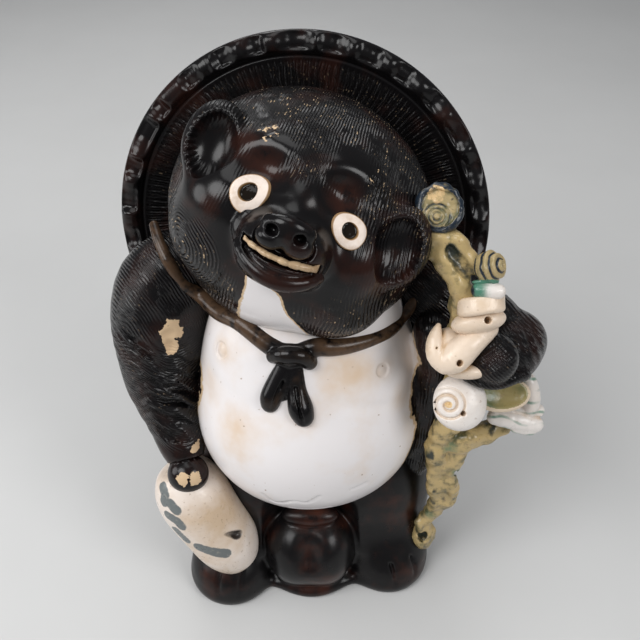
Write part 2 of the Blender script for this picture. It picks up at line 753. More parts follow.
eye = {
    "half": 8.6,
    "lobes": {-1: ((24, 0.17), (150, 0.07), (280, 0.16)),  # degrees, share
              1: ((25, 0.11), (155, 0.17), (282, 0.13))},
    "tall": {-1: 1.17, 1: 1.0},
    "rise": 2.6,
    "pupil": 4.4,
    "sink": 2.4,
    "rings": 32,
    "spokes": 120,
    "cream": (0.80, 0.69, 0.61),
    "stain": (0.62, 0.46, 0.33),
    "thinned": (0.30, 0.17, 0.07),
    "dark": (0.010, 0.007, 0.005),
}


def eyeOutline(side, angle):
    share = np.ones_like(angle)
    for degrees, lift in eye["lobes"][side]:
        share += lift * np.exp(4.0 * (np.cos(angle - math.radians(degrees)) - 1))
    return eye["half"] * share


def eyeMesh(side):
    turn = headTurn @ lookTurn(*head["eyes"][side])
    at = headAt + headTurn @ onHead(*head["eyes"][side])
    angle = np.linspace(0, 2 * math.pi, eye["spokes"], endpoint=False)
    outline = eyeOutline(side, angle)
    points, dark = [], []
    for i in range(eye["rings"] + 1):
        s = 2 * i / eye["rings"]  # 0 middle, 1 edge of the pupil, 2 outer edge
        radius = eye["pupil"] * s if s <= 1 else eye["pupil"] + (outline - eye["pupil"]) * (s - 1)
        height = eye["rise"] * math.sqrt(max(0.0, 1 - (0.46 * s) ** 6))
        height -= eye["sink"] * (1 - s ** 10) if s < 1 else 0
        height -= 7.0 if i == eye["rings"] else 0
        x, y = radius * np.cos(angle), radius * np.sin(angle) * eye["tall"][side]
        points.append(np.stack([x, y, np.full_like(angle, height)], 1))
        dark.append(np.full(len(angle), 0.3 if s > 1.85 else max(0.0, 1.0 - max(0.0, s - 0.80) * 4.0)))
    n = eye["spokes"]
    faces = [[i * n + j, (i + 1) * n + j, (i + 1) * n + (j + 1) % n, i * n + (j + 1) % n]
             for i in range(eye["rings"]) for j in range(n)]
    points = np.vstack(points)
    lift = np.zeros(len(points))
    for _ in range(12):  # lay the eye on the modelled face
        spot = np.stack([points[:, 0], points[:, 1], lift], 1) @ turn.T + at
        lift -= skull(inHead(spot)) * 0.9
    points[:, 2] += lift
    mesh = meshFrom("eye", points @ turn.T + at, np.array(faces))
    mark(mesh, "pupil", np.hstack(dark))
    return mesh


def eyeGlaze():
    glaze, tree, shader = newGlaze("eyeSlip")
    warm = ramp(tree, noise(tree, 160, 3), 0.45, 0.7)
    cream = tint(tree, times(tree, warm, 0.5), eye["cream"], eye["stain"])
    pupil = marked(tree, "pupil")
    colour = tint(tree, ramp(tree, pupil, 0.02, 0.35), cream, eye["thinned"])  # brown where the white thins
    colour = tint(tree, ramp(tree, pupil, 0.3, 0.8), colour, eye["dark"])
    place(tree, shader.inputs["Base Color"], colour)
    place(tree, shader.inputs["Roughness"], math2(tree, "SUBTRACT", 0.32, times(tree, pupil, 0.22)))
    shader.inputs["Specular IOR Level"].default_value = 0.25
    bump(tree, shader, noise(tree, 200, 2), 0.6)
    return glaze


def tidyMesh(mesh):
    bm = bmesh.new()
    bm.from_mesh(mesh)
    bmesh.ops.remove_doubles(bm, verts=bm.verts, dist=1e-6)
    bmesh.ops.recalc_face_normals(bm, faces=bm.faces)
    bm.to_mesh(mesh)
    bm.free()
    mesh.shade_smooth()


eyes = []
for side, label in ((-1, "right"), (1, "left")):
    mesh = eyeMesh(side)
    tidyMesh(mesh)
    eyes.append((newPiece(label + "Eye", mesh), label))
print("eyes done")

# teeth: a bare strip of clay along the smile

teeth = {"reach": 19.5, "height": 1.7, "thick": 2.4, "count": 7, "set": 1.6, "netStep": 0.6}


def teethForm(p):
    q = inHead(p)
    x = q[:, 0] / (head["muzzle"][0] + 1)
    front = muzzleAt[1] - (head["muzzle"][1] - teeth["set"]) * np.sqrt(np.maximum(1 - x * x, 0.05))
    rise = smileRise(q[:, 0]) - 0.6
    # taller towards the figure's left
    tall = teeth["height"] * (0.7 + 0.45 * (q[:, 0] / teeth["reach"] + 1) / 2)
    a = np.stack([(q[:, 1] - front) / teeth["thick"], (q[:, 2] - rise) / tall], 1)
    d = (length(a) - 1) * teeth["height"]
    d = d + 0.25 * np.cos(q[:, 0] * teeth["count"] * math.pi / (2 * teeth["reach"])) ** 12
    return np.maximum(d, np.abs(q[:, 0]) - teeth["reach"]) + 0.45 * ripple(q, 2.2, 12)


def faceBox(pad):
    corners = headAt + (muzzleAt + (cube * 2 - 1) * pad) @ headTurn.T
    return corners.min(0), corners.max(0)


teethPiece = model("teethStrip", teethForm, *faceBox((24, 40, 16)), teeth["netStep"], (), 2.0)

# arms and paws

rightArm = {
    "stations": ((-76, 6, 258, 14), (-94, 2, 234, 28.5), (-100, -4, 202, 31), (-99, -20, 168, 26),
                 (-92, -40, 143, 17), (-86, -56, 130, 12)),
    "paw": (-83.5, -66.5, 121),
    "pawRadii": (14, 13, 13.5),
    "hollows": ((-97, -31, 232, 13), (-83, -25, 242, 12), (-98, -39, 200, 7)),
    "strokes": (((-116.5, -28.5, 221), (-109, -33.5, 212), (-102, -38, 204)),
                ((-93, -44, 184), (-85, -41, 177), (-76, -36, 171)),
                ((-98, -48, 175), (-87, -44, 169), (-75, -38, 163)),
                ((-97, -51, 168), (-92, -53, 163), (-87, -53.5, 158)),
                ((-104, -55, 154), (-96, -58, 150), (-88, -60, 146))),
    "folds": ((0.5, (0.1, 0.45, 0.9), 3.2, (-83, -38, 187), 20),  # height, way, pitch, place, reach
              (1.5, (0.25, 0.35, 0.85), 10.5, (-88, -42, 170), 44),
              (0.7, (0.7, 0.3, 0.65), 6.0, (-112, -26, 206), 30)),
    "slantEnd": 214,  # level where the slanting combed strokes give way to level ones
    "wrist": 140,
    "box": ((-136, -82, 90), (-52, 40, 278)),
    "netStep": 1.2,
    "chips": (((-86.5, -33, 221), (8, 7, 6.5)), ((-88, -34, 213), (4.5, 7, 8)),
              ((-84.5, -31, 227), (4.5, 7, 4.5)),
              ((-85, -76, 128), (4.5, 6, 5)), ((-77.5, -75, 127), (4, 6, 4.5)),
              ((-78, -59, 141), (3.5, 5, 3))),
}
leftArm = {
    "upper": ((72, 6, 256, 14), (84, -2, 236, 26), (106, -10, 218, 23), (126, -22, 210, 19)),
    "fore": ((138, -14, 205, 11), (134, -24, 208, 17.8), (127, -42, 215, 16.5), (114, -54, 224, 12)),
    "paw": (108, -67, 234),
    "pawRadii": (15.2, 15.2, 15.2),
    "thumb": ((-14, -11.6, 3), (-7, -14.8, 5), (-0.5, -16, 5), (7, -15.4, 3), (16, -13, -2), (24, -12, -9)),
    "strokes": (((84, -27.5, 246), (96, -31, 238), (104, -36, 226)),
                ((92, -24, 252), (104, -28, 244), (113, -34, 233))),
    "combed": ((0.5, (0.55, -0.8, 0), 3.3, (-1, 2, 20), 16), (0.6, (0.9, 0.35, 0.2), 5.0, (30, 8, -6), 26)),
    "box": ((50, -92, 178), (162, 40, 276)),
    "netStep": 1.2,
}
grip = np.array([108, -61, 230.0])
viewTurn = lookTurn(0, 42)


def inGrip(p):  # offsets from the left paw: right, up and towards the camera
    return (p - grip) @ viewTurn


def rightArmForm(p):
    d = coil(p, rightArm["stations"], 4, 6)
    paw = egg(p, rightArm["paw"], rightArm["pawRadii"])
    d = meld(carve(d, paw - 1.2, 2), paw, 0.8)
    for x, y, z, reach in rightArm["hollows"]:
        d = d + 1.8 * blob(p, (x, y, z), reach)
    for line in rightArm["strokes"]:
        d = carve(d, coil(p, thread(line, 1.2), 2, 0.5), 1.8)
    bent = p.copy()
    bent[:, 2] += 3.0 * np.sin(p[:, 0] / 7.0) + 2.0 * np.sin(p[:, 0] / 3.1 + 1)
    for high, way, pitch, at, reach in rightArm["folds"]:  # wrung folds down to the wrist
        d = d + high * ridges(bent, way, pitch) * blob(p, at, reach)
    for chip, size in rightArm["chips"][:2]:
        d = carve(d, egg(p, np.add(chip, (0, -4.5, 0)), size), 1.2)
    return d + 0.5 * ripple(p, 13, 4)


def leftArmForm(p):
    d = coil(p, leftArm["upper"], 4, 6)
    d = meld(d, coil(p, leftArm["fore"], 4, 6), 2.5)
    paw = egg(p, leftArm["paw"], leftArm["pawRadii"])
    d = meld(carve(d, paw - 1.6, 2), paw, 0.6)
    d = meld(d, coil(inGrip(p), thread(leftArm["thumb"], 3.2), 3, 2), 1.0)
    for line in leftArm["strokes"]:
        d = carve(d, coil(p, thread(line, 1.2), 2, 0.5), 1.8)
    r = inGrip(p)
    for high, way, pitch, at, reach in leftArm["combed"]:
        d = d + high * ridges(r, way, pitch) * blob(r, at, reach)
    return d + 0.6 * ripple(p, 9, 5)


rightArmPiece = model("rightArm", rightArmForm, *rightArm["box"], rightArm["netStep"])
leftArmPiece = model("leftArm", leftArmForm, *leftArm["box"], leftArm["netStep"])

# flask: turned bottle under the right paw

flask = {
    "foot": (-51.5, -83, 33.5),
    "towards": (-97, -57, 119),
    "length": 97,
    "profile": ((13, 0), (21.5, 16), (25.4, 42), (26.4, 68), (21.5, 88), (12, 98)),
    "dabs": (((94, 158), (90, 164), (86, 158)), ((84, 172), (79, 178)), ((76, 156), (71, 168), (66, 170)),
             ((62, 152), (52, 156)), ((44, 170), (36, -174), (29, -158))),  # height, degrees round
    "chip": ((43, -141, 0.8), (39, -132, 2.6), (35, -124, 3.6), (34, -118, 2.0)),  # height, degrees, width
    "tan": ((58, -135), 37.4),  # stained place and its reach
    "box": ((-124, -116, 10), (-24, -26, 130)),
    "netStep": 1.1,
}
flaskFoot = np.array(flask["foot"], float)
flaskAxis = np.array(flask["towards"], float) - flaskFoot
flaskAxis /= np.linalg.norm(flaskAxis)
flaskSide = np.cross(flaskAxis, (0, 1, 0))
flaskSide /= np.linalg.norm(flaskSide)
flaskFront = np.cross(flaskSide, flaskAxis)
flaskFit = np.polyfit([z for r, z in flask["profile"]], [r for r, z in flask["profile"]], 4)


def flaskForm(p):
    q = p - flaskFoot
    h = q @ flaskAxis
    r = length(q - h[:, None] * flaskAxis)
    wide = np.polyval(flaskFit, np.clip(h, 0, flask["length"]))
    d = (r - wide) * 0.93
    d = -meld(-d, h, 3)
    d = -meld(-d, flask["length"] - h, 3)
    d = carve(d, coil(p, [(*onFlask(h, a), w * 0.6) for h, a, w in flask["chip"]], 3, 0.5), 0.8)
    return d + 0.5 * ripple(p, 15, 6)


def onFlask(h, degrees):
    a = math.radians(degrees)
    out = flaskSide * math.sin(a) + flaskFront * math.cos(a)
    return flaskFoot + flaskAxis * h + out * np.polyval(flaskFit, h)


flaskPiece = model("clayFlask", flaskForm, *flask["box"], flask["netStep"])

# branch with its sawn knots, buds and blossoms, laid out as the camera sees them from the left paw

branch = {
    "stem": ((-34, 66, 31, 7), (-31.5, 55, 29, 6.2), (-24, 44, 26, 7), (-19, 34, 21, 8), (-16, 16, 5, 9.5),
             (-15, -5.6, -11.7, 9.5), (-14, -33.8, -37.2, 9.5), (-21, -64.9, -60, 8), (-16.3, -79.9, -74, 8.2),
             (-13.6, -95.2, -86, 8.8), (-10.9, -107.8, -98, 8.6), (-16.5, -120.3, -108, 6.2),
             (-21.1, -130.9, -117, 4.8), (-20.3, -144.1, -127, 8.5), (-20.5, -151, -132, 8)),
    "strands": (((-30, 68, 32, 5), (-22, 59, 31, 5.2), (-14, 50, 29, 5.2)),
                ((-38, 70, 32, 5), (-37, 60, 30, 4), (-31, 50, 28, 4)),
                ((-8, -62, -62, 8), (-8.5, -72, -66, 7.5), (-9, -79, -71, 6)),
                ((-20, -68, -58, 5), (-12, -84, -70, 4.6), (-7, -98, -82, 5), (-6, -109, -93, 4.4)),
                ((-21, -84, -72, 4), (-20, -98, -83, 4.6), (-15, -112, -97, 4.6), (-16, -122, -105, 4)),
                ((-26, -132, -113, 3.4), (-24, -141, -120, 4.2), (-27, -148, -127, 4)),
                ((-12, -60, -58, 9.5), (-2, -58, -57, 9.5), (5, -56.5, -56, 7)),
                ((4, -56, -56, 7.5), (14, -53, -55, 7.2), (22, -50, -53, 6))),
    "grooves": (((-29.5, 60.5, 34.5, 1.0), (-26.5, 55, 34, 2.2), (-23, 50.5, 33, 3.0), (-18.5, 46.5, 33, 2.2)),
                ((-7.3, -79, -69, 2.4), (-7.5, -84, -74, 2.8)),
                ((-22.4, -142.5, -120, 2.4), (-22, -146, -122, 2.6))),
    "box": ((60, -84, 18), (150, -10, 322)),
    "netStep": 1.0,
}


def gripBox(low, high):
    corners = grip + (np.array(low, float) + cube * (np.array(high, float) - low)) @ viewTurn.T
    return corners.min(0), corners.max(0)


def branchForm(p):
    r = inGrip(p)
    d = coil(r, branch["stem"], 3, 3)
    for strand in branch["strands"]:
        d = meld(d, coil(r, strand, 3, 2), 1.6)
    for groove in branch["grooves"]:
        d = carve(d, coil(r, groove, 2, 0.5), 1.5)
    return d + 0.8 + 1.7 * ripple(p, 5.2, 7) + 0.6 * ripple(p, 2.2, 8)


branchPiece = model("branch", branchForm, *branch["box"], branch["netStep"])

sprigs = {
    "topKnot": {"at": (-36, 81.5, 34), "radius": 13.6, "half": 6, "heart": (-37.5, 77.1),
                "rings": (2.2, 4.5, 7)},
    "smallKnot": {"at": (-8.5, 50, 34), "radii": (8.6, 8.8, 8.5), "axis": (0.72, 0.1, 0.68), "rings": 12,
                  "band": ((-10, 42, 32.5), (7.5, 1.8, 4))},
    "blossomCollar": {"at": (-11, 29.6, 26), "radii": (13.2, 11), "half": 5.2},
    "blossomUpper": {"at": (-11.5, 20.5, 22), "radii": (15.5, 7, 10), "tilt": 10, "hole": (-8.2, 21.2)},
    "upperBud": {"roll": ((-14, 37.4, 33, 4.2), (-9, 37.0, 33.6, 4.5), (-3.5, 36.6, 34, 4.2))},
    "blossomMiddle": {
        "rolls": (((-4, 16, 17, 5), (-14, 10, 19, 7.5), (-24, 0, 19, 8.5), (-28, -3, 18, 6)),
                  ((-33, 18, 16, 1.4), (-35.5, 10, 17.5, 4.2), (-35, 1, 18, 5), (-30, -5, 18, 4.5))),
        "under": ((-16, -8.5, 11), (12, 4.5, 7)), "heart": ((-24, 4, 8), (14, 13, 13)),
        "hole": (-22.8, -2.8), "pin": (-35.1, 5.5),
    },
    "blossomFront": {"at": (-16.5, -28.3, -5), "radii": (16.3, 17.2, 9), "eye": (-24.5, -28.9), "pitch": 4.7,
                     "wind": 11.0, "hole": (-16.1, -34)},
    "leafCup": {"at": (12.5, -25, -22), "radii": (18.5, 11.5, 6.5),
                "scoop": ((12.5, -24, -15.0), (17.2, 10.2, 6.0))},
    "lowerBud": {
        "rolls": (((14, -42, -43, 5.5), (28, -44, -43, 6.5), (41, -47, -45, 5.5)),
                  ((20, -36.5, -42, 3.2), (32, -36, -41, 4), (42, -38, -43, 4.5)),
                  ((28, -49, -45, 4), (38, -50, -46, 4.5)),
                  ((28, -11, -29, 3), (32, -19, -29, 5), (35.5, -29, -34, 5.5), (36, -38, -41, 4.5))),
    },
}


def seenAway(r, at):  # distance from a place, as the camera sees it
    return np.hypot(r[:, 0] - at[0], r[:, 1] - at[1])


def topKnotForm(p):
    look, r = sprigs["topKnot"], inGrip(p)
    flat, up = seenAway(r, look["at"]), r[:, 2] - look["at"][2]
    d = roundDisc(flat, up, look["radius"], look["half"], 2.5)
    d = carve(d, np.maximum(flat - look["radius"] + 3.6, look["half"] - 1.6 - up), 1.0)
    away = seenAway(r, look["heart"])
    for ring in look["rings"]:
        d = d + 0.9 * np.exp(-((away - ring) / 0.6) ** 2) * (up > 0)
    return d + 0.6 * ripple(p, 4, 8) + 0.6 * ripple(p, 1.7, 9)


def knotBend(r):  # angle off the small knot's axis
    v = r - sprigs["smallKnot"]["at"]
    along = v @ np.array(sprigs["smallKnot"]["axis"])
    return np.arctan2(np.sqrt(np.maximum((v * v).sum(1) - along ** 2, 0)), along)


def smallKnotForm(p):
    look, r = sprigs["smallKnot"], inGrip(p)
    bend = knotBend(r)
    d = egg(r, look["at"], look["radii"]) + 0.85 * np.cos(look["rings"] * bend) * (bend < 1.5)
    d = meld(d, egg(r, *look["band"]), 0.8)
    return d + 0.4 * ripple(p, 3, 8)


def collarForm(p):
    look, r = sprigs["blossomCollar"], inGrip(p)
    v = r - look["at"]
    wide, deep = look["radii"]
    flat = (np.hypot(v[:, 0] / wide, v[:, 2] / deep) - 1) * deep
    return roundDisc(flat, v[:, 1] - 0.12 * v[:, 0], 0, look["half"], 2.2) + 0.4 * ripple(p, 5, 9)


def drill(d, r, at, top, size):
    return carve(d, rod(r, (*at, top), (*at, top - 9), size, size * 0.8), 0.8)


def upperForm(p):
    look, r = sprigs["blossomUpper"], inGrip(p)
    d = egg(r, look["at"], look["radii"], axisTurn(2, look["tilt"]))
    return drill(d, r, look["hole"], look["at"][2] + look["radii"][2], 1.9) + 0.35 * ripple(p, 6, 9)


def upperBudForm(p):
    return coil(inGrip(p), sprigs["upperBud"]["roll"], 3, 1) + 0.25 * ripple(p, 5, 10)


def middleForm(p):
    look, r = sprigs["blossomMiddle"], inGrip(p)
    d = egg(r, *look["heart"])
    for roll in look["rolls"]:
        d = meld(d, coil(r, roll, 3, 1), 1.0)
    d = meld(d, egg(r, *look["under"]), 0.8)
    d = drill(d, r, look["hole"], 28, 1.9)
    return drill(d, r, look["pin"], 23, 0.8) + 0.35 * ripple(p, 6, 11)


def frontForm(p):
    look, r = sprigs["blossomFront"], inGrip(p)
    d = meld(egg(r, look["at"], look["radii"]), egg(r, np.add(look["at"], (0, 0, -11)), (12, 12, 12)), 4)
    x, y = r[:, 0] - look["eye"][0], r[:, 1] - look["eye"][1]
    away, wind = np.hypot(x, y), np.arctan2(y, x) / (2 * math.pi)
    turns = away / look["pitch"] - wind
    gap = np.abs(turns - np.round(turns)) * look["pitch"]
    face = (r[:, 2] > look["at"][2]) * np.clip((look["wind"] - away) / 2, 0, 1)
    d = d + 1.5 * np.exp(-(gap / 0.75) ** 2) * face
    return drill(d, r, look["hole"], 6, 1.9) + 0.35 * ripple(p, 6, 12)


def leafForm(p):
    look, r = sprigs["leafCup"], inGrip(p)
    return carve(egg(r, look["at"], look["radii"]), egg(r, *look["scoop"]), 1.2) + 0.3 * ripple(p, 5, 13)


def lowerBudForm(p):
    r = inGrip(p)
    rolls = (coil(r, roll, 3, 1) for roll in sprigs["lowerBud"]["rolls"])
    return melded(rolls, 1.0) + 0.35 * ripple(p, 5, 14)


sprigForms = {  # form, and its box in offsets from the paw
    "topKnot": (topKnotForm, (-54, 64, 22), (-18, 99, 44)),
    "smallKnot": (smallKnotForm, (-22, 36, 22), (4, 62, 46)),
    "blossomCollar": (collarForm, (-28, 22, 12), (6, 40, 42)),
    "blossomUpper": (upperForm, (-28, 10, 10), (6, 34, 36)),
    "upperBud": (upperBudForm, (-24, 30, 26), (6, 44, 42)),
    "blossomMiddle": (middleForm, (-46, -20, -10), (6, 26, 34)),
    "blossomFront": (frontForm, (-37, -50, -32), (4, -8, 10)),
    "leafCup": (leafForm, (-4, -38, -32), (33, -12, -12)),
    "lowerBud": (lowerBudForm, (4, -60, -56), (54, -4, -24)),
}
sprigStep = 0.65
sprigPieces = {}
for name, (form, low, high) in sprigForms.items():
    sprigPieces[name] = model(name, form, *gripBox(low, high), sprigStep, (), 2.5)

# chin cord of clay coils with its knot and hanging ends

cord = {
    "thin": 3.0,
    "thick": 6.4,
    "knot": (-9.5, -58.6, 229),
    "knotRadii": (11.5, 8.5, 8.5),
    "right": ((-9.5, -58.6, 229), (-22.4, -55.5, 233.7), (-40.8, -43.2, 241), (-55, -31, 238), (-68, -17, 240),
              (-78, -16, 249), (-85, -13, 262), (-92, -2, 271), (-96, 8, 276)),
    "left": ((-9.5, -58.6, 229), (4.4, -58.4, 234.8), (14.5, -57.4, 233.9), (25, -54.7, 233),
             (37.6, -48.8, 232), (50.5, -38.9, 230.5), (59.9, -24.9, 229), (67, -20.5, 239), (72.4, -19, 250)),
    "tails": (((-13, -61, 224, 5), (-18, -66, 214, 6), (-22, -70.5, 205, 6.6), (-23, -72, 200, 5.5)),
              ((-10, -61, 224, 4.5), (-13.5, -66, 214, 4.5), (-15.5, -70.5, 206, 4)),
              ((-7, -61, 224, 5), (-6.5, -69, 210, 6), (-4.5, -76, 201, 7.4), (-2.5, -79, 195.5, 6))),
    "grooves": (((-15, -69, 217), (-20, -77, 206), (-22, -79, 199)),
                ((-7, -72, 214), (-4.5, -82, 203), (-2.5, -86, 195))),
    "loop": ((-20, -62, 231, 4.5), (-13, -66, 236, 5), (-4, -66, 235, 5), (1, -64, 228, 5)),
    "box": ((-106, -92, 180), (84, 30, 280)),
    "netStep": 0.9,
}


def cordRun(p, route):  # thick at the knot, thinner towards the shoulder
    radii = np.linspace(cord["thick"], cord["thin"], len(route))
    return coil(p, [(*point, r) for point, r in zip(route, radii)], 6, 0.1)


def cordForm(p):
    d = np.minimum(cordRun(p, cord["right"]), cordRun(p, cord["left"]))
    d = meld(d, egg(p, cord["knot"], cord["knotRadii"]), 1.2)
    for tail in cord["tails"]:
        d = meld(d, coil(p, tail, 4, 1), 0.9)
    d = meld(d, coil(p, cord["loop"], 3, 1), 1.0)
    for groove in cord["grooves"]:
        d = carve(d, coil(p, thread(groove, 1.0), 3, 0.5), 1.5)
    return d + 0.2 * ripple(p, 9, 11)


cordPiece = model("chinCord", cordForm, *cord["box"], cord["netStep"])

# straw hat hung behind the head, spun from one profile by nodes

hat = {
    "at": (-5.4, 40, 251),
    "yaw": -5.6,
    "lean": 17,
    "radius": 126.0,
    "profile": ((0, 0, -41), (0.36, 108.5, -3.6), (0.41, 112.5, -1.2), (0.46, 115.5, 1.8), (0.5, 119.5, 2.6),
                (0.55, 124.2, 0.4), (0.59, 126, -4), (0.63, 124.2, -8.4), (0.67, 119.5, -10.4),
                (0.71, 113, -9.6), (0.95, 18, -44.2), (1, 0, -47)),  # share of the way round, radius, rise
    "straight": (0.36, 0.71),  # the cone's two faces, before and after these shares of the profile
    "spokes": 824,
    "rows": 120,
    "dents": 31,
    "dentDepth": 4.2,
    "ribs": 160,
    "ribDepth": 0.45,
    "lineDepth": 1.3,
    "seed": 4.0,
}


def floatCurve(tree, value, pairs):
    node = add(tree, "ShaderNodeFloatCurve")
    curve = node.mapping.curves[0]
    curve.points[0].location = pairs[0]
    curve.points[1].location = pairs[-1]
    for pair in pairs[1:-1]:
        curve.points.new(*pair)
    for point in curve.points:
        if not hat["straight"][0] + 0.01 < point.location[0] < hat["straight"][1] - 0.01:
            point.handle_type = "VECTOR"
    node.mapping.update()
    tree.links.new(value, node.inputs["Value"])
    return node.outputs["Value"]


def storeMark(tree, geometry, name, value):
    node = add(tree, "GeometryNodeStoreNamedAttribute", data_type="FLOAT", domain="POINT")
    node.inputs["Name"].default_value = name
    tree.links.new(geometry, node.inputs["Geometry"])
    tree.links.new(value, node.inputs["Value"])
    return node.outputs[0]


def hatTree(glaze):
    tree = bpy.data.node_groups.new("strawHat", "GeometryNodeTree")
    face = tree.interface
    face.new_socket("Geometry", in_out="INPUT", socket_type="NodeSocketGeometry")
    for label in ("Radius", "Dents", "Dent Depth", "Ribs", "Rib Depth", "Line Depth", "Seed"):
        face.new_socket(label, in_out="INPUT", socket_type="NodeSocketFloat")
    face.new_socket("Geometry", in_out="OUTPUT", socket_type="NodeSocketGeometry")
    given = add(tree, "NodeGroupInput").outputs
    grid = add(tree, "GeometryNodeMeshGrid")
    grid.inputs["Vertices X"].default_value = hat["spokes"] + 1
    grid.inputs["Vertices Y"].default_value = hat["rows"]
    where = add(tree, "ShaderNodeSeparateXYZ")
    tree.links.new(add(tree, "GeometryNodeInputPosition").outputs[0], where.inputs[0])
    angle = times(tree, plus(tree, where.outputs[0], 0.5), 2 * math.pi)
    share = plus(tree, where.outputs[1], 0.5)
    deep = max(-z for v, r, z in hat["profile"])
    wide = floatCurve(tree, share, [(v, r / hat["radius"]) for v, r, z in hat["profile"]])
    rise = floatCurve(tree, share, [(v, (z + deep) / 60) for v, r, z in hat["profile"]])
    wide = times(tree, wide, given["Radius"])
    rise = times(tree, math2(tree, "SUBTRACT", rise, deep / 60), 60 * mm)
    lip = times(tree, ramp(tree, share, 0.42, 0.47), ramp(tree, share, 0.585, 0.52))
    brim = times(tree, ramp(tree, share, 0.10, 0.16), ramp(tree, share, 0.365, 0.345))
    brim = plus(tree, brim, times(tree, ramp(tree, share, 0.74, 0.78), ramp(tree, share, 0.95, 0.90)))
    circle = times(tree, ramp(tree, share, 0.375, 0.385), ramp(tree, share, 0.40, 0.39))
    # uneven thumb dents along the face of the lip
    wobble = add(tree, "ShaderNodeTexNoise", noise_dimensions="1D")
    wobble.inputs["Scale"].default_value = 3.0
    tree.links.new(plus(tree, times(tree, angle, 2.0), given["Seed"]), wobble.inputs["W"])
    loose = times(tree, math2(tree, "SUBTRACT", wobble.outputs[0], 0.5),
                  times(tree, math2(tree, "SINE", times(tree, angle, 0.5)), 7.0))
    phase = plus(tree, times(tree, angle, given["Dents"]), loose)
    pinch = math2(tree, "POWER", plus(tree, times(tree, math2(tree, "COSINE", phase), 0.5), 0.5), 0.8)
    dent = times(tree, times(tree, pinch, lip), given["Dent Depth"])
    rib = times(tree, math2(tree, "SINE", times(tree, angle, given["Ribs"])), given["Rib Depth"])
    rise = math2(tree, "SUBTRACT", rise, dent)
    rise = plus(tree, rise, times(tree, rib, brim))
    rise = math2(tree, "SUBTRACT", rise, times(tree, circle, given["Line Depth"]))
    spot = add(tree, "ShaderNodeCombineXYZ")
    tree.links.new(times(tree, wide, math2(tree, "COSINE", angle)), spot.inputs[0])
    tree.links.new(times(tree, wide, math2(tree, "SINE", angle)), spot.inputs[1])
    tree.links.new(rise, spot.inputs[2])
    marks = storeMark(tree, grid.outputs["Mesh"], "comb", times(tree, angle, 100.0))
    marks = storeMark(tree, marks, "combed", times(tree, brim, 1.0))
    shape = add(tree, "GeometryNodeSetPosition")
    tree.links.new(marks, shape.inputs["Geometry"])
    tree.links.new(spot.outputs[0], shape.inputs["Position"])
    weld = add(tree, "GeometryNodeMergeByDistance")
    weld.inputs["Distance"].default_value = 0.02 * mm
    real = add(tree, "GeometryNodeRealizeInstances")
    paint = add(tree, "GeometryNodeSetMaterial")
    paint.inputs["Material"].default_value = glaze
    out = add(tree, "NodeGroupOutput")
    chain = (shape, weld, real, paint, out)
    for a, b in zip(chain, chain[1:]):
        tree.links.new(a.outputs[0], b.inputs[0])
    return tree


def fromNodes(name, tree, values):
    carrier = newPiece(name + "Carrier", bpy.data.meshes.new(name + "Carrier"))
    modifier = carrier.modifiers.new(name, "NODES")
    modifier.node_group = tree
    for item in tree.interface.items_tree:
        if item.in_out == "INPUT" and item.name in values:
            modifier[item.identifier] = values[item.name]
    bpy.context.view_layer.update()
    mesh = bpy.data.meshes.new_from_object(carrier.evaluated_get(bpy.context.evaluated_depsgraph_get()))
    bpy.data.objects.remove(carrier)
    mesh.name = name
    return mesh


hatGlaze = darkGlaze("hatGlaze", 0.9, 0.3, 0.25)
hatMesh = fromNodes("hat", hatTree(hatGlaze), {
    "Radius": hat["radius"] * mm, "Dents": float(hat["dents"]), "Dent Depth": hat["dentDepth"] * mm,
    "Ribs": float(hat["ribs"]), "Rib Depth": hat["ribDepth"] * mm, "Line Depth": hat["lineDepth"] * mm,
    "Seed": hat["seed"],
})
hatTurn = lookTurn(hat["yaw"], hat["lean"])
hatMesh.transform(Matrix.Translation([v * mm for v in hat["at"]]) @ Matrix(hatTurn.tolist()).to_4x4())
tidyMesh(hatMesh)
hatPiece = newPiece("hat", hatMesh)
print("hat spun,", len(hatMesh.polygons), "faces")

# marks that the glazes read

def combMarks(piece, across, combed):
    p = pointsOf(piece.data)
    mark(piece.data, "comb", across(p))
    mark(piece.data, "combed", np.broadcast_to(combed(p), len(p)))


def chipMarks(piece, chips):  # bare clay: millimetres in from the edge of each chip
    p = pointsOf(piece.data)
    bare = np.zeros(len(p))
    for at, size in chips:
        bare = np.maximum(bare, 4 - egg(p, at, size))
    mark(piece.data, "bare", bare)


def nearLine(p, line, reach):  # 1 on a line, easing to 0 at its reach
    return np.clip(1 - coil(p, thread(line, 0.0), 2, 0.3) / reach, 0, 1)


headMarks = {
    "print": (-51, -49, -30),
    "printReach": 27,
    "chinLeft": -14,
    "chinRight": ((-59.5, 28), (-49, 13), (-38, 5), (-33, -10)),
}


def headAcross(p):
    q = inHead(p)
    across = q[:, 0] + 0.15 * q[:, 2] * np.tanh(q[:, 0] / 30)
    away = length(q - headMarks["print"])
    return np.where(away < headMarks["printReach"], away, across)


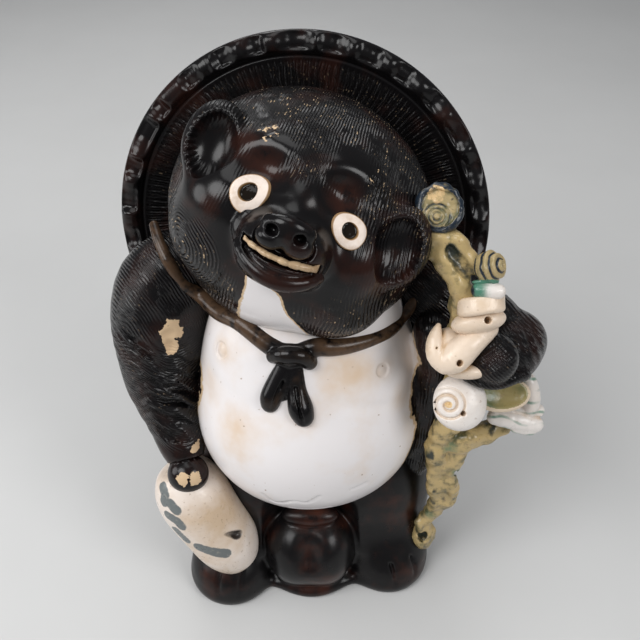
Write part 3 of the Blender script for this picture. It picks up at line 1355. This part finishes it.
def headCombed(p):
    q = inHead(p)
    combed = np.clip(egg(q, muzzleAt + (0, 6, 0), (35, 34, 33)) / 8, 0, 1) * (chinWhite(p) < 2)
    combed = combed * np.clip(egg(q, noseAt, (22, 22, 20)) / 6, 0, 1)
    combed = combed * np.clip(1 - 1.5 * blob(q, onHead(-41, 8, 1.04), 46), 0, 1)  # smooth right cheek
    for yaw, pitch in head["sockets"]:
        combed = combed * (1 - blob(q, onHead(yaw * 1.15, pitch - 2, 0.97), 18))
    for yaw, pitch, share, size in head["cheeks"][:2]:
        combed = combed * (1 - blob(q, onHead(yaw, pitch, 1.06), 36))
    for yaw, pitch, share in head["brows"]:
        combed = combed * np.clip(1 - 1.5 * blob(q, onHead(yaw, pitch, 1.04), 24), 0, 1)
    for side, yaw, pitch, facing in head["ears"]:
        combed = combed * (1 - 0.8 * blob(q, onHead(side * yaw, pitch), 34))
    away = length(q - headMarks["print"])
    return combed * np.clip(np.abs(away - headMarks["printReach"]) / 3, 0, 1)


def chinWhite(p):
    q = inHead(p)
    zs, xs = zip(*headMarks["chinRight"])
    inside = np.minimum(q[:, 0] - headMarks["chinLeft"], np.interp(q[:, 2], zs, xs) - q[:, 0])
    inside = np.minimum(np.minimum(inside, -33 - q[:, 2]), -20 - q[:, 1])
    return np.clip(inside + 6, 0, 60)


combMarks(headPiece, headAcross, headCombed)
p = pointsOf(headPiece.data)
mark(headPiece.data, "white", chinWhite(p))
inHat = (p - hat["at"]) @ hatTurn
(_, _, peak), (_, edge, edgeRise) = hat["profile"][:2]
crown = (edgeRise - peak) / edge * np.hypot(inHat[:, 0], inHat[:, 1]) + peak - inHat[:, 2]
bare = np.where(p[:, 2] > 300, 6.4 - 0.8 * np.abs(crown + 2), 0)  # rubbed line where the head meets the hat
q = inHead(p)
for at in head["scars"]:
    bare = np.maximum(bare, 3.2 * (length(q - at) < 7))
mark(headPiece.data, "bare", np.maximum(bare, 0))
iron = 0.5 * blob(q, muzzleAt - (0, 16, 14), 20)
for yaw, pitch in head["sockets"]:
    iron = np.maximum(iron, 0.5 * blob(q, onHead(yaw, pitch, 0.97), 15))
mark(headPiece.data, "iron", iron)


def armAcross(p):  # slanting strokes on the shoulder, level ones below
    slanting = p[:, 0] * 0.8 + p[:, 1] * 0.6 + p[:, 2] * 0.25
    level = p[:, 2] + 0.25 * p[:, 0] + 3 * np.sin(p[:, 0] / 8)
    return np.where(p[:, 2] > rightArm["slantEnd"], slanting, level)


def armCombed(p):
    z = p[:, 2]
    combed = np.clip(np.abs(z - rightArm["slantEnd"]) / 4, 0, 1) * np.clip((z - rightArm["wrist"]) / 12, 0, 1)
    return combed * (1 - blob(p, (-88, -30, 224), 30))


combMarks(rightArmPiece, armAcross, armCombed)
chipMarks(rightArmPiece, rightArm["chips"])
combMarks(leftArmPiece, lambda p: p[:, 0] * 0.7 + p[:, 1] * 0.3 + p[:, 2] * 0.7, lambda p: 1.0)
mark(lowerBody.data, "iron", 0.9 * blob(pointsOf(lowerBody.data), lower["tab"][0], 20))
combMarks(bodyBack, lambda p: p[:, 0], lambda p: 0.5)
p = pointsOf(bodyFront.data)
combMarks(bodyFront, lambda p: p[:, 0], lambda p: 0.3 * (whiteEdge(p) < -2))
mark(bodyFront.data, "white", np.clip(whiteEdge(p) + 6, 0, 60))
warm = 0.55 * np.clip(1 - whiteEdge(p) / 16, 0, 1)
for x, y, z, reach in body["warm"]:
    warm = np.maximum(warm, 0.8 * blob(p, (x, y, z), reach))
mark(bodyFront.data, "warm", warm)

p = pointsOf(flaskPiece.data)
ink = np.zeros(len(p))
for dab in flask["dabs"]:
    ink = np.maximum(ink, np.clip(2.2 * nearLine(p, [onFlask(*spot) for spot in dab], 5.0), 0, 0.62))
mark(flaskPiece.data, "ink", ink)
scab = coil(p, [(*onFlask(h, a), w) for h, a, w in flask["chip"]], 3, 0.5)
mark(flaskPiece.data, "green", np.clip(0.4 - 0.35 * scab, 0, 1))
spot, reach = flask["tan"]
mark(flaskPiece.data, "open", 1 - 0.9 * blob(p, onFlask(*spot), reach))

p = pointsOf(cordPiece.data)
mark(cordPiece.data, "iron", np.clip((length(p - cord["knot"]) - 15) / 14, 0, 0.45) * (p[:, 2] > 224))


def sprigPaint(name, paint):  # paint gives named brush marks for offsets from the paw
    piece = branchPiece if name == "branch" else sprigPieces[name]
    for label, value in paint(inGrip(pointsOf(piece.data))).items():
        mark(piece.data, label, value)


def branchPaint(r):
    ink = nearLine(r, [g[:3] for g in branch["grooves"][0]], 7)
    ink = np.maximum(ink, 0.9 * blob(r, (-22, -144, -121), 9))
    green = np.maximum(0.8 * blob(r, (-7.4, -82, -71), 10), 0.5 * blob(r, (-14, -63, -52), 12))
    rough = np.clip(0.5 + 0.8 * ripple(r * (1, 0.5, 0.6), 2.2, 3), 0, 1)
    rough = rough * np.clip(0.45 + ripple(r, 9, 5), 0, 1)
    green = np.maximum(green, 0.45 * blob(r, (-18, -124, -104), 12))
    return {"ink": np.maximum(ink * 0.9, 0.55 * rough), "green": green}


def topKnotPaint(r):
    look = sprigs["topKnot"]
    rough = np.clip(ripple(r, 1.5, 3), 0, 1)
    ink = np.maximum(np.clip((seenAway(r, look["at"]) - 8.8) / 3, 0, 0.6), 0.75 * rough)
    broken = np.clip(1 + 1.5 * ripple(r, 2.5, 6), 0, 1)
    for ring in look["rings"]:
        ink = np.maximum(ink, 0.55 * np.exp(-((seenAway(r, look["heart"]) - ring) / 0.9) ** 2) * broken)
    return {"ink": ink, "bare": np.clip(1.0 - seenAway(r, (-38, 89)) / 7.5, 0, 0.42)}


def smallKnotPaint(r):
    rings = np.cos(sprigs["smallKnot"]["rings"] * knotBend(r) + 0.6 * ripple(r, 2, 4))
    upper = r[:, 1] > 43  # above the green band
    return {"ink": np.clip(0.15 + 0.6 * rings, 0, 1) * upper, "green": 0.8 * (r[:, 1] < 43)}


def upperBudPaint(r):
    return {"green": np.clip((-4.5 - r[:, 0]) / 14, 0, 0.8), "ink": np.clip((-14.5 - r[:, 0]) / 5, 0, 0.7)}


def middlePaint(r):
    return {"bare": 0.38 * blob(r, (-6, 12, 20), 12)}


def frontPaint(r):
    return {"bare": 0.6 * np.clip(1.6 - seenAway(r, sprigs["blossomFront"]["eye"]) / 2.2, 0, 1)}


def leafPaint(r):
    look = sprigs["leafCup"]
    deep = egg(r, *look["scoop"]) < 0.8
    return {"green": 0.42 * deep * np.clip((20 - r[:, 0]) / 12, 0.2, 1), "bare": np.where(deep, 0.1, 0.6)}


def lowerBudPaint(r):
    stripe = np.cos((r[:, 0] * 0.2 + r[:, 1] + 1.5 * np.sin(r[:, 0] / 4)) * 2 * math.pi / 7.8)
    fade = np.clip(0.75 + 0.35 * np.sin(r[:, 0] / 5.0 + r[:, 1] / 3.0), 0, 1)
    edge = nearLine(r, ((28, -12, -25), (28, -22, -25), (31, -32, -30)), 3.5)
    green = np.maximum(np.clip(0.55 * stripe * fade, 0, 1), 0.6 * edge)
    return {"green": green, "bare": 0.25 * (r[:, 0] < 20)}


paints = {
    "branch": branchPaint, "topKnot": topKnotPaint, "smallKnot": smallKnotPaint, "upperBud": upperBudPaint,
    "blossomMiddle": middlePaint, "blossomFront": frontPaint, "leafCup": leafPaint, "lowerBud": lowerBudPaint,
}
for name, paint in paints.items():
    sprigPaint(name, paint)
print("marks laid")

# glazes and the frame's nodes that each piece stands for

dark = darkGlaze("darkGlaze")
darkAndWhite = darkGlaze("darkAndWhite", whiteToo=True)
armGlaze = darkGlaze("armGlaze", 0.7, 0.25, 0.25)
plainDark = darkGlaze("pouchGlaze", 0.0, 0.6, 0.4, matt=0.22)
cordGlaze = darkGlaze("cordGlaze", 0.0, 0.25, 0.2, "brown")
cream = paleGlaze("creamGlaze", (0.78, 0.69, 0.62), (0.60, 0.45, 0.31), 0.75, 0.4, 24, flaskPaint)
bone = paleGlaze("toothGlaze", (0.56, 0.40, 0.24), (0.30, 0.18, 0.09), 0.7, 0.5, 120)
petal = paleGlaze("petalGlaze", (0.78, 0.64, 0.51), (0.62, 0.42, 0.22), 0.45, 0.3)
white = paleGlaze("blossomWhite", (0.80, 0.75, 0.71), (0.62, 0.46, 0.31), 0.25, 0.3)
barkPaint = {"green": (0.07, 0.16, 0.09), "ink": (0.028, 0.034, 0.026), "bare": (0.74, 0.60, 0.44)}
bark = paleGlaze("barkGlaze", (0.50, 0.37, 0.17), (0.085, 0.085, 0.038), 0.9, 0.6, 120, barkPaint)
leafGreen = paleGlaze("leafGlaze", (0.36, 0.29, 0.12), (0.20, 0.20, 0.08), 0.8, 0.5, 90, barkPaint)
olive = paleGlaze("oliveGlaze", (0.43, 0.33, 0.165), (0.12, 0.12, 0.06), 0.85, 0.6, 90)

finishPiece(lowerBody, plainDark, "dark_glaze", "base_slab", "right_leg", "left_leg",
            "lucky_pouch", "pouch_tab", "tail")
finishPiece(bodyFront, darkAndWhite, "white_glaze", "body_front")
finishPiece(bodyBack, dark, "dark_glaze", "body_back")
finishPiece(headPiece, darkAndWhite, "dark_glaze", "head_shell", "muzzle", "lower_jaw", "nose",
            "right_ear", "left_ear")
finishPiece(teethPiece, bone, "cream_glaze", "teeth")
slip = eyeGlaze()
for piece, label in eyes:
    finishPiece(piece, slip, "eye_slip", label + "_pupil", label + "_eye_white")
finishPiece(rightArmPiece, armGlaze, "dark_glaze", "right_arm", "right_paw")
finishPiece(leftArmPiece, armGlaze, "dark_glaze", "left_upper_arm", "left_forearm", "left_paw")
finishPiece(flaskPiece, cream, "cream_glaze", "flask")
finishPiece(branchPiece, bark, "olive_glaze", "branch_upper", "branch_lower", "branch_twig")
sprigFinish = {
    "topKnot": (olive, "olive_glaze", "top_knot"),
    "smallKnot": (olive, "olive_glaze", "small_knot"),
    "blossomCollar": (petal, "cream_glaze", "blossom_collar"),
    "blossomUpper": (petal, "cream_glaze", "blossom_upper"),
    "blossomMiddle": (petal, "cream_glaze", "blossom_middle"),
    "blossomFront": (white, "cream_glaze", "blossom_front"),
    "upperBud": (white, "cream_glaze", "upper_bud"),
    "lowerBud": (white, "cream_glaze", "lower_bud"),
    "leafCup": (leafGreen, "olive_glaze", "leaf"),
}
for name, (glaze, slot, node) in sprigFinish.items():
    finishPiece(sprigPieces[name], glaze, slot, node)
finishPiece(cordPiece, cordGlaze, "dark_glaze", "cord_knot", "right_cord", "left_cord",
            "right_cord_tail", "left_cord_tail")
finishPiece(hatPiece, hatGlaze, "dark_glaze", "hat_shell", "hat_rim")
print("pieces finished")

# floor, light and camera

studio = {
    "floorHalf": 4.0,
    "floorColour": (0.60, 0.60, 0.595),
    "cameraAt": (7.4, -355.6, 523.9),
    "cameraPitch": 42.0,
    "lens": 39.375,
    "sky": (0.93, 0.96, 1.0),
    "skyLevel": 0.17,
}
floorMesh = bpy.data.meshes.new("floor")
far = studio["floorHalf"]
floorMesh.from_pydata([(-far, -far, 0), (far, -far, 0), (far, far, 0), (-far, far, 0)], [], [(0, 1, 2, 3)])
floorPiece = newPiece("floor", floorMesh)
floorPaint, floorTree, floorShader = newGlaze("floorPaint")
cloud = noise(floorTree, 5, 4)
soft = tint(floorTree, cloud, studio["floorColour"], tuple(c * 0.9 for c in studio["floorColour"]))
place(floorTree, floorShader.inputs["Base Color"], soft)
floorShader.inputs["Roughness"].default_value = 0.8
floorMesh.materials.append(floorPaint)

world = bpy.data.worlds.new("studio")
bpy.context.scene.world = world
world.use_nodes = True
world.node_tree.nodes["Background"].inputs["Color"].default_value = (*studio["sky"], 1)
world.node_tree.nodes["Background"].inputs["Strength"].default_value = studio["skyLevel"]

lamps = {  # place, size in metres, watts
    "keyLamp": ((-0.9, -0.7, 1.5), 1.0, 18.0),
    "fillLamp": ((1.0, -0.8, 1.1), 0.7, 9.0),
    "leftLamp": ((-1.3, -0.2, 0.65), 0.8, 6.5),
    "topLamp": ((0.0, 0.3, 2.0), 1.2, 8.0),
    "backLamp": ((-0.3, 1.3, 1.3), 0.8, 5.0),
}
for name, (at, size, watts) in lamps.items():
    data = bpy.data.lights.new(name, "AREA")
    data.shape = "DISK"
    data.size = size
    data.energy = watts
    lamp = newPiece(name, data)
    lamp.location = at
    lamp.rotation_euler = (Vector((0, 0, 0.2)) - Vector(at)).to_track_quat("-Z", "Y").to_euler()

eyepiece = bpy.data.cameras.new("photoCamera")
eyepiece.lens = studio["lens"]
eyepiece.sensor_width = 36
eyepiece.clip_start = 0.01
camera = newPiece("photoCamera", eyepiece)
camera.location = [v * mm for v in studio["cameraAt"]]
camera.rotation_euler = (math.radians(90 - studio["cameraPitch"]), 0, 0)
bpy.context.scene.camera = camera
bpy.context.scene.view_settings.view_transform = "Standard"

print("scene ready")
